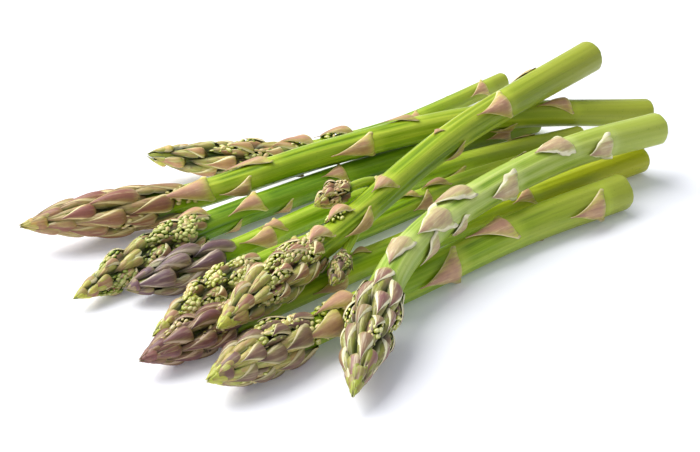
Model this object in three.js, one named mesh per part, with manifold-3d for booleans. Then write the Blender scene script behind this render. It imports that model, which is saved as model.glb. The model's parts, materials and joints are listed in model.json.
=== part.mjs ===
// A loose bundle of nine asparagus spears lying in a pile, tips at -X and cut ends at +X.
// Millimetres, +Z up, the pile rests on the plane z = 0.
import * as THREE from "three";
import { mergeVertices } from "three/addons/utils/BufferGeometryUtils.js";
import Module from "manifold-3d";

const wasm = await Module();
wasm.setup();

// Rules shared by all spears
const GOLDEN_ANGLE = Math.PI * (3 - Math.sqrt(5));
const NODE_GAP = 0.3;            // air between a head and the stem behind it
const STEM_SIDES = 10;
const STEM_STEP = 21;            // distance between the rings of a stem
const RIDGE = 0.02;              // share by which every other edge of a stem stands out
const CUT_BEVEL = 0.7;           // rounded rim of the cut end
const CORE_SHARE = 0.8;          // core of a head as a share of its outer radius
const WIDEST = 0.62;             // where a head is widest, from its tip
const TAPER = 0.85;              // how a head narrows to its tip, lower is blunter
const CORE_SIDES = 8;
const CORE_RINGS = 5;
const TIP_PASS = 1;              // how far the last scale leaves reach past the core's tip
const FLOOR_SIZE = 600;
const PILE_SHIFT = new THREE.Vector3(-0.3, 0.3, 0);  // brings the middle of the pile over the origin

// Outlines of a scale leaf from its root: [share of its length, share of its half width]
const SCALE_OUTLINE = [[0, 0], [0.3, -1], [1, 0], [0.3, 1]];
const BRACT_OUTLINE = [[0, 0], [0.06, -0.9], [0.45, -1], [1, 0], [0.45, 1], [0.06, 0.9]];
const LEAF_CREST = 0.4;          // where the back of a scale leaf stands highest
const BUD_TURN = 0.9;            // buds lie between the scale leaves, turned on by this much

// Colours of the heads and stems
const STEM_GREEN = 0x8fae3c;
const STEM_PALE = 0xa3ba62;
const STEM_SHADE = 0x6f8f2c;
const HEAD_TAN = 0xa08a63;
const HEAD_MAUVE = 0x86696a;
const HEAD_PURPLE = 0x6b4c4c;
const HEAD_GREEN = 0x8fa548;
const HEAD_SAGE = 0x8d8a58;

// Each spear: route of its middle line from the tip to the cut end, outer radius of the head, radius of
// the stem at the neck and at the cut end, length of the head, and joint, where the stem's node begins.
// scales: number, length and width of the leaves that cover the head, and how far their tips stand off.
// buds: number and radius of the small round buds of an opening head.
// bracts: single scale leaves as [root from the tip, angle from the top, length, width], 90 = towards -Y.
const SPEARS = [
  {
    name: "a", headColor: HEAD_TAN, stemColor: STEM_GREEN,
    route: [[-127.5, 63.5, 12], [-69.5, 52.5, 10.1], [-4, 47, 14.8], [65, 37.5, 15.4], [134.5, 17.5, 7.6]],
    head: 62, joint: 73, headRadius: 9, neckRadius: 5, buttRadius: 5.5,
    scales: { count: 21, length: 21, width: 12, lift: 0.3 },
    bracts: [[72, 45, 23, 9], [88, 100, 14, 8], [99, 335, 21, 9], [112, 220, 18, 9], [142, 78, 21, 9],
      [163, 340, 15, 8], [186, 240, 16, 8], [206, 148, 11, 8], [231, 20, 16, 9]],
  },
  {
    name: "b", headColor: HEAD_SAGE, stemColor: STEM_GREEN,
    route: [[-59.5, 92, 11.2], [-38, 79.5, 8.6], [-11, 72.5, 5.4], [43, 71.5, 3.8], [109, 80.5, 6.2]],
    head: 60, joint: 69, headRadius: 7.6, neckRadius: 3.6, buttRadius: 3.8, taper: 0.6,
    scales: { count: 15, length: 17, width: 10, lift: 0.5 },
    buds: { count: 8, radius: 2.2 },
    bracts: [[68, 350, 18, 8], [87, 345, 18, 8], [98, 180, 14, 6], [121, 50, 12, 6], [144, 250, 13, 6],
      [161, 45, 12, 7]],
  },
  {
    name: "c", headColor: HEAD_GREEN, stemColor: STEM_SHADE,
    route: [[-131.5, 15.5, 5.5], [-79.5, 32, 6.7], [-24.5, 41, 5.1], [35, 44.3, 4.8], [95, 42.5, 4.8]],
    head: 66, joint: 70, headRadius: 7.5, neckRadius: 4.9, buttRadius: 5.1,
    scales: { count: 7, length: 11, width: 7.5, lift: 0.8 },
    buds: { count: 38, radius: 2.8 },
    bracts: [[67, 343, 15, 8], [80, 120, 9, 6], [92, 32, 18, 8], [105, 110, 9, 6], [133, 36, 13, 8],
      [160, 200, 14, 7], [188, 320, 14, 7], [214, 80, 13, 7]],
  },
  {
    name: "d", headColor: HEAD_MAUVE, stemColor: STEM_GREEN,
    route: [[-114.5, 9.5, 6.6], [-90, 9.5, 6.9], [-64, 15.5, 5], [-13, 25.5, 4.1], [42.5, 27.5, 4.1],
      [100, 20, 4.3]],
    head: 45, joint: 47, headRadius: 7.4, neckRadius: 4.2, buttRadius: 4.6, taper: 0.65,
    scales: { count: 18, length: 16, width: 12, lift: 0.2 },
    bracts: [[65, 65, 18, 10], [70, 18, 11, 7], [92, 240, 14, 7], [128, 0, 15, 7],
      [160, 120, 14, 7], [196, 300, 14, 7]],
  },
  {
    name: "e", headColor: HEAD_GREEN, stemColor: STEM_GREEN,
    route: [[-121, -20, 4.8], [-73, -2, 5.7], [-21, 5, 4.3], [35.5, 12, 4.4], [94, 9, 4.6]],
    head: 56, joint: 60, headRadius: 6.7, neckRadius: 4.3, buttRadius: 4.9,
    scales: { count: 6, length: 11, width: 7.5, lift: 0.8 },
    buds: { count: 34, radius: 2.6 },
    bracts: [[76, 30, 14, 8], [96, 200, 14, 7], [134, 345, 11, 8], [139, 70, 12, 8], [150, 345, 13, 8],
      [190, 130, 14, 7]],
  },
  {
    name: "f", headColor: HEAD_PURPLE, stemColor: STEM_GREEN,
    route: [[-134.5, -36, 8], [-82, -26, 5.5], [-25, -18, 5.1], [37, -13.5, 5], [103, -12, 6]],
    head: 47, joint: 51, headRadius: 7.8, neckRadius: 4.9, buttRadius: 5.4,
    scales: { count: 21, length: 16, width: 11, lift: 0.3 },
    bracts: [[50, 20, 14, 9], [89, 88, 18, 10], [102, 350, 8, 6], [126, 230, 15, 8], [152, 330, 14, 8],
      [180, 40, 11, 7], [208, 150, 14, 8]],
  },
  {
    name: "g", headColor: HEAD_SAGE, stemColor: STEM_PALE,
    route: [[-91.5, -92, 8], [-66, -66, 13.5], [-33, -42, 19.3], [10, -26.5, 21.6], [60, -17.5, 22],
      [107, -15.6, 19.2]],
    head: 58, joint: 60, headRadius: 8.9, neckRadius: 5.7, buttRadius: 6.3, taper: 1,
    scales: { count: 26, length: 17, width: 12, lift: 0.5 },
    bracts: [[77, 350, 16, 9], [89, 102, 14, 9], [100, 33, 21, 10], [108, 120, 10, 8], [117, 347, 19, 11],
      [126, 220, 15, 9], [139, 82, 17, 10], [156, 270, 14, 8], [172, 14, 18, 10], [192, 82, 13, 9]],
  },
  {
    name: "h", headColor: HEAD_SAGE, stemColor: STEM_GREEN,
    route: [[-112, -47, 17.5], [-44, -15.5, 18.4], [33.5, 17, 23.8], [120, 39, 28.6]],
    head: 62, joint: 68, headRadius: 8.3, neckRadius: 4.8, buttRadius: 6.6, ridge: 0.05,
    scales: { count: 18, length: 15, width: 10, lift: 0.9 },
    buds: { count: 12, radius: 2.4 },
    bracts: [[66, 5, 15, 8], [83, 340, 14, 8], [91, 95, 20, 8], [109, 10, 13, 9], [122, 200, 15, 8],
      [150, 345, 6, 4], [156, 130, 14, 8], [188, 54, 21, 11], [216, 290, 14, 8]],
  },
  {
    name: "j", headColor: HEAD_SAGE, stemColor: STEM_GREEN,
    route: [[-125, -61.5, 10], [-79, -50.5, 7.2], [-29, -40.5, 5.8], [24, -33, 6.8], [75, -31.2, 7]],
    head: 47, joint: 68, headRadius: 9, neckRadius: 5.4, buttRadius: 6.9,
    scales: { count: 22, length: 17, width: 12.5, lift: 0.5 },
    bracts: [[57, 65, 22, 10], [67, 10, 23, 10], [90, 240, 16, 9], [116, 77, 22, 12], [145, 20, 23, 11],
      [162, 200, 15, 9], [189, 82, 19, 11]],
  },
];

// Side shoots of spear h: a thin stalk out of a bract's axil and a small closed head at its end
const SIDE_SHOOTS = [
  {
    name: "side_tip_1", headColor: HEAD_MAUVE, stemColor: STEM_GREEN,
    route: [[-45, -2.5, 23.6], [-37, -1.5, 24.8], [-29, -0.5, 25.2], [-18.5, 2.5, 23.6], [-9, 4, 20]],
    head: 17, joint: 18, headRadius: 4.2, neckRadius: 1.6, buttRadius: 2,
    scales: { count: 7, length: 8, width: 5.5, lift: 0.2 },
  },
  {
    name: "side_tip_2", headColor: HEAD_SAGE, stemColor: STEM_GREEN,
    route: [[-62.5, -38.5, 13.6], [-54, -31, 13.8], [-46, -23, 14.4], [-39, -17.5, 16], [-31, -11.5, 18.4]],
    head: 20, joint: 21, headRadius: 3.8, neckRadius: 1.5, buttRadius: 2,
    scales: { count: 7, length: 8, width: 5.5, lift: 0.4 },
  },
];

// Repeatable random numbers between 0 and 1
function randomFrom(seed) {
  let state = seed;
  return () => {
    state = (state * 1664525 + 1013904223) % 4294967296;
    return state / 4294967296;
  };
}

// A spear's middle line, with its own up and side directions at each distance from the tip
class MiddleLine {
  constructor(route) {
    this.curve = new THREE.CatmullRomCurve3(route.map((p) => new THREE.Vector3(...p)), false, "catmullrom", 0.5);
    this.length = this.curve.getLength();
  }

  // The point at a distance from the tip, at an angle from the top and a radius from the middle
  point(distance, angle, radius) {
    const share = THREE.MathUtils.clamp(distance / this.length, 0, 1);
    const along = this.curve.getTangentAt(share);
    const side = new THREE.Vector3().crossVectors(along, new THREE.Vector3(0, 0, 1)).normalize();
    const up = new THREE.Vector3().crossVectors(side, along);
    return this.curve.getPointAt(share)
      .addScaledVector(along, distance - share * this.length)
      .addScaledVector(up, radius * Math.cos(angle))
      .addScaledVector(side, radius * Math.sin(angle));
  }
}

// Outer radius of a spear at a distance from its tip, scale leaves of the head included
function outerRadius(spear, distance) {
  const share = THREE.MathUtils.clamp(distance / spear.head, 0, 1);
  if (share < WIDEST) {
    return spear.headRadius * Math.sin(0.5 * Math.PI * (share / WIDEST) ** (spear.taper ?? TAPER));
  }
  if (share < 1) {
    const fall = (share - WIDEST) / (1 - WIDEST);
    return spear.headRadius - (spear.headRadius - spear.neckRadius) * fall ** 1.6;
  }
  const stemShare = (distance - spear.head) / (spear.line.length - spear.head);
  return THREE.MathUtils.lerp(spear.neckRadius, spear.buttRadius, stemShare);
}

// Radius of the body that the scale leaves grow from
function bodyRadius(spear, distance) {
  const outer = outerRadius(spear, distance);
  const share = THREE.MathUtils.clamp((spear.head - distance) / (spear.head * (1 - WIDEST)), 0, 1);
  return outer * THREE.MathUtils.lerp(1, CORE_SHARE, share);
}

// A closed geometry as a solid, its shared corners merged and its faces pointing out
function solidFrom(geometry) {
  const bare = geometry.clone();
  bare.deleteAttribute("normal");
  bare.deleteAttribute("uv");
  const merged = mergeVertices(bare, 1e-4);
  const position = merged.getAttribute("position");
  const index = merged.getIndex().array;
  const triangles = [];
  let volume = 0;
  const [a, b, c] = [new THREE.Vector3(), new THREE.Vector3(), new THREE.Vector3()];
  for (let i = 0; i < index.length; i += 3) {
    const corners = [index[i], index[i + 1], index[i + 2]];
    if (new Set(corners).size < 3) continue;
    triangles.push(corners);
    a.fromBufferAttribute(position, corners[0]);
    b.fromBufferAttribute(position, corners[1]);
    c.fromBufferAttribute(position, corners[2]);
    volume += a.dot(b.cross(c));
  }
  const outward = volume > 0 ? triangles : triangles.map(([p, q, r]) => [p, r, q]);
  return new wasm.Manifold(new wasm.Mesh({
    numProp: 3,
    vertProperties: new Float32Array(position.array),
    triVerts: new Uint32Array(outward.flat()),
  }));
}

// A solid's surface as a geometry
function geometryFrom(solid) {
  const mesh = solid.getMesh();
  const geometry = new THREE.BufferGeometry();
  geometry.setAttribute("position", new THREE.BufferAttribute(mesh.vertProperties, 3));
  geometry.setIndex(new THREE.BufferAttribute(mesh.triVerts, 1));
  geometry.computeVertexNormals();
  return geometry;
}

// A turned body along a spear's middle line, from [radius, distance] pairs that start and end on the axis
function bentBody(spear, profile, sides, ridge) {
  const geometry = new THREE.LatheGeometry(profile.map(([r, s]) => new THREE.Vector2(r, s)), sides);
  const position = geometry.getAttribute("position");
  for (let i = 0; i < position.count; i += 1) {
    const angle = Math.atan2(position.getX(i), position.getZ(i));
    const edge = Math.round((angle / (2 * Math.PI)) * sides);
    const radius = Math.hypot(position.getX(i), position.getZ(i)) * (1 + (edge % 2 === 0 ? ridge : -ridge));
    const point = spear.line.point(position.getY(i), angle, radius);
    position.setXYZ(i, point.x, point.y, point.z);
  }
  return solidFrom(geometry);
}

// One scale leaf as a thin wedge, its tip towards the spear's tip: the outline's first corner, the root, is
// sunk into the body, a fan of faces rises to the crest, and the underside is a fan from the root
function leafSolid(spear, outline, leaf) {
  const halfWidth = leaf.width / 2;
  const corner = (share, across, height) => {
    const distance = leaf.root - share * leaf.length;
    const radius = Math.max(bodyRadius(spear, distance) + height, 0.15);
    const turn = THREE.MathUtils.clamp((across * halfWidth) / Math.max(radius, 0.5), -1.25, 1.25);
    return spear.line.point(distance, leaf.angle + turn, radius);
  };
  const heightAt = (share) => (share === 0 ? -leaf.sink : leaf.edge + (leaf.lift - leaf.edge) * share ** 3);
  const points = outline.map(([share, across]) => corner(share, across, heightAt(share)));
  const count = points.length;
  points.push(corner(LEAF_CREST, 0, leaf.crest));
  const index = [];
  for (let i = 0; i < count; i += 1) {
    index.push(i, (i + 1) % count, count);
  }
  for (let i = 1; i < count - 1; i += 1) {
    index.push(0, i + 1, i);
  }
  const geometry = new THREE.BufferGeometry().setFromPoints(points);
  geometry.setIndex(index);
  return solidFrom(geometry);
}

// The leaves that cover a head, each turned on from the last by the golden angle
function headLeaves(spear, random) {
  const { count, length, width, lift } = spear.scales;
  const leaves = [];
  for (let i = 0; i < count; i += 1) {
    const share = (i + 0.5) / count;
    const root = spear.head * (1 - share * 0.93);
    const size = 0.42 + 0.58 * Math.sin(0.5 * Math.PI * Math.min(root / (spear.head * WIDEST), 1));
    const reach = Math.min(length * size, root + TIP_PASS);
    const stand = outerRadius(spear, root - reach * 0.7) - bodyRadius(spear, root - reach * 0.7);
    leaves.push(leafSolid(spear, SCALE_OUTLINE, {
      root,
      angle: i * GOLDEN_ANGLE + 0.2 * (random() - 0.5),
      length: reach,
      width: width * size,
      sink: 1.2,
      edge: -0.2,
      crest: stand * 0.9,
      lift: stand + lift * random(),
    }));
  }
  return leaves;
}

// The round buds of an opening head, partly sunk into its surface
function headBuds(spear, random) {
  const buds = [];
  const { count, radius } = spear.buds;
  for (let i = 0; i < count; i += 1) {
    const distance = spear.head * (0.04 + (0.9 * (i + 0.5)) / count);
    const size = radius * (0.8 + 0.35 * random());
    const reach = Math.max(outerRadius(spear, distance) - size * (0.75 + 0.35 * random()), 0.2);
    const geometry = new THREE.OctahedronGeometry(size, 0);
    geometry.rotateX(Math.PI * random());
    geometry.rotateZ(Math.PI * random());
    const place = spear.line.point(distance, i * GOLDEN_ANGLE + BUD_TURN, reach);
    geometry.translate(place.x, place.y, place.z);
    buds.push(solidFrom(geometry));
  }
  return buds;
}

// The single scale leaves of a spear whose roots lie between two distances from the tip
function bractLeaves(spear, from, to) {
  return (spear.bracts ?? [])
    .filter(([root]) => root > from && root <= to)
    .map(([root, angle, length, width]) => leafSolid(spear, BRACT_OUTLINE, {
      root, angle: THREE.MathUtils.degToRad(angle), length, width, sink: 1, edge: 0.2, crest: 0.95, lift: 0.7,
    }));
}

// The block under the floor plane, which gives the lowest spears their small flat resting spots
const belowFloor = solidFrom(new THREE.BoxGeometry(FLOOR_SIZE, FLOOR_SIZE, 40).translate(0, 0, -20));

// Pieces joined into one solid, trimmed flat where they would pass the floor. Only the largest body is kept,
// so a hollow that the joining sealed is filled and a loose scrap is dropped.
function fused(pieces) {
  const whole = pieces.reduce((joined, piece) => joined.add(piece)).subtract(belowFloor);
  return whole.decompose().sort((one, other) => other.volume() - one.volume())[0];
}

function tipSolid(spear, seed) {
  const random = randomFrom(seed);
  const profile = [[0, 0.4]];
  for (let i = 1; i <= CORE_RINGS; i += 1) {
    const distance = spear.head * (i / CORE_RINGS);
    profile.push([bodyRadius(spear, distance), distance]);
  }
  const end = spear.joint - NODE_GAP / 2;
  profile.push([bodyRadius(spear, end), end], [0, end]);
  return fused([
    bentBody(spear, profile, CORE_SIDES, 0),
    ...headLeaves(spear, random),
    ...(spear.buds ? headBuds(spear, random) : []),
    ...bractLeaves(spear, 0, spear.joint),
  ]);
}

function stemBody(spear) {
  const start = spear.joint + NODE_GAP / 2;
  const end = spear.line.length;
  const steps = Math.max(Math.round((end - start) / STEM_STEP), 2);
  const profile = [[0, start]];
  for (let i = 0; i <= steps; i += 1) {
    const distance = start + ((end - CUT_BEVEL - start) * i) / steps;
    profile.push([bodyRadius(spear, distance), distance]);
  }
  profile.push([spear.buttRadius - CUT_BEVEL / 2, end], [0, end]);
  return bentBody(spear, profile, STEM_SIDES, spear.ridge ?? RIDGE);
}

function namedMesh(name, solid, color, roughness) {
  const material = new THREE.MeshStandardMaterial({ color, roughness, metalness: 0 });
  const mesh = new THREE.Mesh(geometryFrom(solid), material);
  mesh.name = name;
  return mesh;
}

const bundle = new THREE.Group();
bundle.position.copy(PILE_SHIFT);
[...SPEARS, ...SIDE_SHOOTS].forEach((spear) => {
  spear.line = new MiddleLine(spear.route);
});

const stalks = SIDE_SHOOTS.map((shoot) => stemBody(shoot));
SPEARS.forEach((spear, number) => {
  const growths = spear.name === "h" ? stalks : [];
  const stem = fused([stemBody(spear), ...growths, ...bractLeaves(spear, spear.joint, Infinity)]);
  bundle.add(namedMesh(`tip_${spear.name}`, tipSolid(spear, 11 + number), spear.headColor, 0.6));
  bundle.add(namedMesh(`stem_${spear.name}`, stem, spear.stemColor, 0.45));
});
SIDE_SHOOTS.forEach((shoot, number) => {
  bundle.add(namedMesh(shoot.name, tipSolid(shoot, 31 + number), shoot.headColor, 0.6));
});

export default bundle;
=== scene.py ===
"""A loose bundle of nine asparagus spears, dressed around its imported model."""
import json
import logging
import math
from dataclasses import dataclass, field

import bpy
import numpy as np
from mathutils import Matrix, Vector


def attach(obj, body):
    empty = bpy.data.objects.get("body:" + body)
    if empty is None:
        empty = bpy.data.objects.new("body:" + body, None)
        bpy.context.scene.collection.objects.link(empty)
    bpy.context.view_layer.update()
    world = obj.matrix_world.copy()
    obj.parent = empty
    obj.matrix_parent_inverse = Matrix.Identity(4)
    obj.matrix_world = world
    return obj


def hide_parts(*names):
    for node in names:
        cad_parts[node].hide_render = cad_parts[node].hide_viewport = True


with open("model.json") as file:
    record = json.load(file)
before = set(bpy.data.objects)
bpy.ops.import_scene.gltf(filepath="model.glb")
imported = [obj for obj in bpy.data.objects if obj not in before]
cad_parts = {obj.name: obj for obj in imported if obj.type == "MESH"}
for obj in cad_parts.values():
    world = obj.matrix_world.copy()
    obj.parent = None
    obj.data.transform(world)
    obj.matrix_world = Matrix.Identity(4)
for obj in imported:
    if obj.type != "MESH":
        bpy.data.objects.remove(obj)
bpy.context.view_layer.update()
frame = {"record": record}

LOG = logging.getLogger("asparagus")

Array = np.ndarray
Socket = bpy.types.NodeSocket
Point = tuple[float, float, float]
Faces = list[tuple[int, ...]]

MM = 0.001                                   # metres in a millimetre
FLOOR_GAP_MM = 0.02                          # the least height of any point over the floor
GOLDEN_ANGLE = math.pi * (3 - math.sqrt(5))  # turn from one leaf of a shoot to the next
PILE_SHIFT_MM = (-0.3, 0.3, 0.0)             # as in the part: the pile's middle over the origin
LINE_STEP_MM = 0.5                           # spacing of the samples along a middle line
CURVE_STEPS = 60                             # samples of the curve between two points of a route
SPEAR_SEED, SHOOT_SEED = 20, 70              # random draws of the first spear and side shoot

# A head, in shares of its length or of its outer radius
HEAD_WIDEST = 0.62      # where it is widest
HEAD_TAPER = 0.85       # how it narrows to its tip, lower is blunter
HEAD_FALL = 1.6         # how it narrows to its neck
HEAD_FILLED = 0.93      # the length over which side buds have their roots
CORE_SHARE = 0.5        # radius of its core
YOUNG_SHARE = 0.33      # the length, from the tip, with the youngest leaves
LEAST_BUD = 0.42        # side buds at the very tip against the largest
HALF_BUD = 0.44         # half width of a side bud against the width of its covering leaf
BUD_SIZES = (0.9, 1.12)      # chance of a side bud's size
BUD_PLUMP = (0.82, 1.08)     # of how plump it is
BUD_TURN, BUD_BEND = 0.16, 0.4     # of its turn in radians, and of its sweep in half widths
HOOD_SIZES = (0.85, 1.1)     # of its covering leaf's size

# A scale leaf
ROW_CROWDING = 1.2      # how its rows crowd towards its root
LEAST_WIDTH = 0.03      # width of its very tip, as a share of its width
FLARE_REACH = 0.16      # share of its length over which its rear corners stand off
ROOT_REACH = 0.07       # share of its length over which its root sinks in
ROOT_SINK_MM = 0.45     # how far it sinks in
WAVE = 0.1              # unevenness of its back, as a share of its height
AXIL_ROOM_MM = 1.1      # height at which a single leaf counts as standing right out

# Round buds
BUD_SIDES, BUD_RINGS = 9, 5
BUD_STRETCH = 1.6       # length of a bud against its width
BEAD_SIZES = (0.7, 1.25)     # chance of its size
BEAD_LEAN = 0.7              # of its lean, in radians

# The stem's skin
# Ribs: height as a share of the radius, how many, and their twist in radians per millimetre
RIBS = ((0.014, 3, 0.006), (0.011, 5, 0.0), (0.007, 9, -0.009), (0.004, 17, 0.0))
FURROW_WIDTH, BANK_WIDTH = 0.13, 0.17        # radians
BANK_SHARE, BANK_TURN = 0.55, 0.3            # height of a furrow's bank, and its turn away from it
FURROW_RUN_MM = 75                           # how far a furrow runs on past its leaf
NODE_SWELL_MM = 0.25                         # swelling of the stem where a leaf is attached

# The cut end
CUT_BEVEL_MM = 0.7                           # rounded rim
BEVEL_BACK = (1.1, 0.6, 0.24, 0.0)           # its rings' distances from the end, in bevels
BEVEL_IN = (0.05, 0.18, 0.38, 0.62)          # how far they are drawn in, in bevels
CUT_RINGS = (1.0, 0.92, 0.75, 0.5, 0.25, 0.04)  # the cut face's rings, in shares of the rim
CUT_HOLLOW_MM = 0.35                         # how far the face's middle lies behind its rim


# Paints: each is a common material and how it was made, as a frozen dataclass that builds it


def linear(hex_color: str) -> tuple[float, float, float, float]:
    """Turn an sRGB hex colour into a linear colour.

    Args:
        hex_color: colour such as "#8fae3c".

    Returns:
        Linear red, green, blue and an alpha of 1.
    """
    parts = [int(hex_color[i:i + 2], 16) / 255 for i in (1, 3, 5)]
    values = [c / 12.92 if c <= 0.04045 else ((c + 0.055) / 1.055) ** 2.4 for c in parts]
    return (*values, 1.0)


@dataclass(frozen=True)
class Grain:
    """A noise drawn over the skin."""

    per_mm: Point            # spots per millimetre across, along and through
    detail: float = 3.0
    roughness: float = 0.5


FIBRES = Grain((2.1, 2.1, 0.03), roughness=0.6)       # 0.5 mm wide, drawn out along the stem
STREAKS = Grain((0.8, 0.8, 0.014), 2.0)               # 1.3 mm wide, drawn out along the stem
BLOTCHES = Grain((0.12, 0.12, 0.05))                  # 8 mm wide and 20 mm long
SPECKS = Grain((1.2, 1.2, 1.2), 1.0)                  # 0.7 mm, sparse
VEINS = Grain((1.15, 0.1, 1.0), roughness=0.6)        # 0.9 mm, coarser than real so that they show
CLOUDS = Grain((0.42, 0.22, 1.0), roughness=0.6)      # 3 mm, they break up every border
PETALS = Grain((0.45, 2.2, 2.2), 2.0)                 # folds 0.5 mm wide along each bud
MOTTLE = Grain((0.7, 0.7, 0.7))                       # 1.4 mm, in the flesh


class Surface:
    """A material in the making: its node tree, its shader and what the mesh says at each point."""

    def __init__(self, name: str) -> None:
        """Start a Principled material and read the mesh's attributes.

        Args:
            name: the material's name.
        """
        self.material = bpy.data.materials.new(name)
        self.material.use_nodes = True
        self.tree = self.material.node_tree
        self.tree.nodes.clear()
        self.shader = self.add("BsdfPrincipled").node
        self.add("OutputMaterial", inputs={"Surface": self.shader.outputs[0]})
        growth, place, self.skin_mm = (
            self.add("Attribute", {"attribute_name": read}, out="Vector")
            for read in ("growth", "place", "skin_mm"))
        self.growth = self.add("SeparateXYZ", inputs={"Vector": growth}).node.outputs
        self.place = self.add("SeparateXYZ", inputs={"Vector": place}).node.outputs

    def add(self, kind: str, settings: dict | None = None, inputs: dict | None = None,
            out: int | str = 0) -> Socket | None:
        """Add one node with its settings and the links into it.

        Args:
            kind: the node's type, without "ShaderNode".
            settings: its attributes; "stops" are a ramp's positions with their hex colours.
            inputs: its inputs by name or number, each with a value, a hex colour or a socket.
            out: name or number of the output to give back.

        Returns:
            That output, if the node has one.
        """
        node = self.tree.nodes.new(f"ShaderNode{kind}")
        for key, value in (settings or {}).items():
            if key != "stops":
                setattr(node, key, value)
                continue
            for _ in value[2:]:
                node.color_ramp.elements.new(0.5)
            for element, (position, hex_color) in zip(node.color_ramp.elements, value):
                element.position, element.color = position, linear(hex_color)
        for key, value in (inputs or {}).items():
            if isinstance(value, Socket):
                self.tree.links.new(value, node.inputs[key])
            else:
                node.inputs[key].default_value = linear(value) if isinstance(value, str) else value
        return node.outputs[out] if node.outputs else None

    def grown(self, *grains: Grain) -> list[Socket]:
        """Draw patterns over the skin, stretched by what the mesh says in millimetres.

        Args:
            grains: the patterns.

        Returns:
            The strength of each, about 0.5 on average.
        """
        drawn = []
        for grain in grains:
            at = self.add("VectorMath", {"operation": "MULTIPLY"},
                          {0: self.skin_mm, 1: grain.per_mm})
            drawn.append(self.add("TexNoise", inputs={
                "Vector": at, "Scale": 1.0, "Detail": grain.detail, "Roughness": grain.roughness}))
        return drawn

    def weigh(self, total: Socket | float, *parts: tuple[Socket, float]) -> Socket:
        """Add up measures of the surface.

        Args:
            total: what they are added to.
            parts: each measure with its weight.

        Returns:
            The sum.
        """
        for measure, weight in parts:
            total = self.add("Math", {"operation": "MULTIPLY_ADD"},
                             {0: measure, 1: weight, 2: total})
        return total

    def lay(self, color: Socket, paint: str, by: Socket, start: float, stop: float,
            most: float) -> Socket:
        """Lay a paint over a colour where a measure of the surface asks for it.

        Args:
            color: what is there.
            paint: hex colour of the paint.
            by: the measure.
            start: its value where the paint begins.
            stop: its value where the paint is strongest.
            most: how strong it is there.

        Returns:
            The colour with the paint on it.
        """
        where = self.add("MapRange", {"interpolation_type": "SMOOTHSTEP"},
                         {"Value": by, "From Min": start, "From Max": stop, "To Max": most})
        return self.add("MixRGB", inputs={0: where, 1: color, 2: paint})

    def finish(self, color: Socket, relief: Socket, depth_mm: float, roughness: Socket | float,
               flesh: tuple[float, Point, float] = (0.0, (1.0, 1.0, 1.0), 1.0),
               fixed: dict | None = None) -> bpy.types.Material:
        """Feed the shader.

        Args:
            color: base colour.
            relief: height of the fine relief, from 0 to 1.
            depth_mm: its depth.
            roughness: the same all over, or a socket.
            flesh: light that goes through: its share, its reach by colour, and that reach in mm.
            fixed: values of the shader's other inputs by name.

        Returns:
            The finished material.
        """
        bump = self.add("Bump", inputs={"Strength": 0.5, "Distance": depth_mm * MM,
                                        "Height": relief})
        through, reach, reach_mm = flesh
        for name, value in {"Base Color": color, "Normal": bump, "Roughness": roughness,
                            "Subsurface Weight": through, "Subsurface Radius": reach,
                            "Subsurface Scale": reach_mm * MM, **(fixed or {})}.items():
            if isinstance(value, Socket):
                self.tree.links.new(value, self.shader.inputs[name])
            else:
                self.shader.inputs[name].default_value = value
        return self.material


@dataclass(frozen=True)
class StemSkin:
    """Fresh asparagus skin: smooth, waxy, faintly translucent, with fine fibres along it."""

    name: str
    shade: str     # painted shade in the furrows, and the colour of the darker specks
    green: str     # most of the stem
    light: str     # painted highlight on the ribs, and the waxy bloom behind each scale leaf
    butt: str      # towards the cut end
    core: str = "#242e08"    # painted shade of the head's core between its scale leaves
    roughness: float = 0.34

    def build(self) -> bpy.types.Material:
        """Make the material.

        Returns:
            The material.
        """
        s = Surface(self.name)
        along, rib, near_leaf = s.growth
        fibres, streaks, blotches, specks = s.grown(FIBRES, STREAKS, BLOTCHES, SPECKS)
        # Painted highlight on the ribs and painted shade in the furrows set how light the green
        # is; streaks and fibres add stripes of their own
        tone = s.weigh(-0.2, (rib, 0.42), (streaks, 0.55), (fibres, 0.35), (blotches, 0.25))
        skin = s.add("ValToRGB", {"stops": ((0.3, self.shade), (0.52, self.green),
                                            (0.8, self.light))}, {0: tone})
        worn = s.weigh(along, (blotches, 0.3))
        skin = s.lay(skin, self.butt, worn, start=0.5, stop=1.2, most=0.9)
        # Painted shade: the head's core is darker between its scale leaves; it is fresh green at
        # its very tip
        skin = s.lay(skin, self.core, along, start=-0.02, stop=-0.1, most=0.9)
        skin = s.lay(skin, self.butt, s.place[0], start=0.3, stop=0.12, most=0.85)
        # A pale waxy bloom behind each scale leaf, and sparse darker specks
        halo = s.add("Math", {"operation": "MULTIPLY"}, {0: near_leaf, 1: 0.6})
        skin = s.add("MixRGB", inputs={0: halo, 1: skin, 2: self.light})
        skin = s.lay(skin, self.shade, specks, start=0.66, stop=0.78, most=0.3)
        gloss = s.add("MapRange", inputs={"Value": blotches, "To Min": self.roughness - 0.08,
                                          "To Max": self.roughness + 0.1})
        relief = s.add("Math", {"operation": "ADD"}, {0: fibres, 1: streaks})
        return s.finish(skin, relief, 0.16, gloss, (0.2, (0.8, 1.0, 0.2), 2.0),
                        {"Specular IOR Level": 0.36})


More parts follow.
